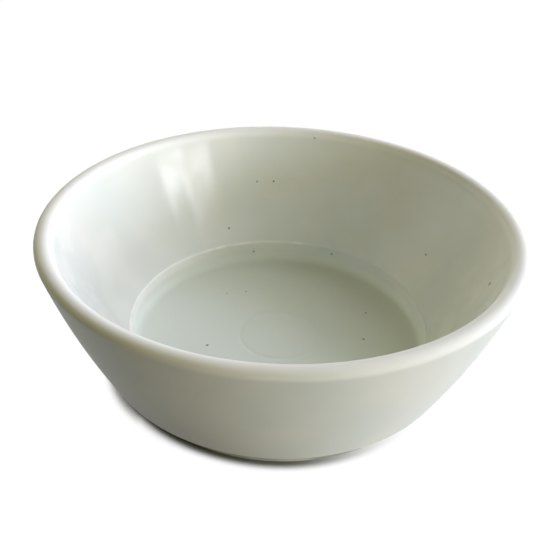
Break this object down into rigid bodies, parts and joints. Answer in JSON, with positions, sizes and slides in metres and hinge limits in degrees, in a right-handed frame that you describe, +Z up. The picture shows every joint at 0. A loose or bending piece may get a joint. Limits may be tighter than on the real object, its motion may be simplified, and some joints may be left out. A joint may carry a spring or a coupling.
{
  "type": "dip bowl",
  "caption": "Round flared dip bowl moulded in one piece, with a rounded lip, a step round the flat floor and a set-in foot ring.",
  "frame": {"origin": "centre of the foot ring, at the level it stands on", "axes": "+Z up along the bowl's axis, +X to the right as the bowl is looked at along +Y"},
  "size_m": [0.125, 0.125, 0.0432],
  "materials": {
    "bowl": "gloss inside, satin outside, off-white"
  },
  "bodies": {
    "root": {"bowl": "bowl"}
  },
  "joints": []
}
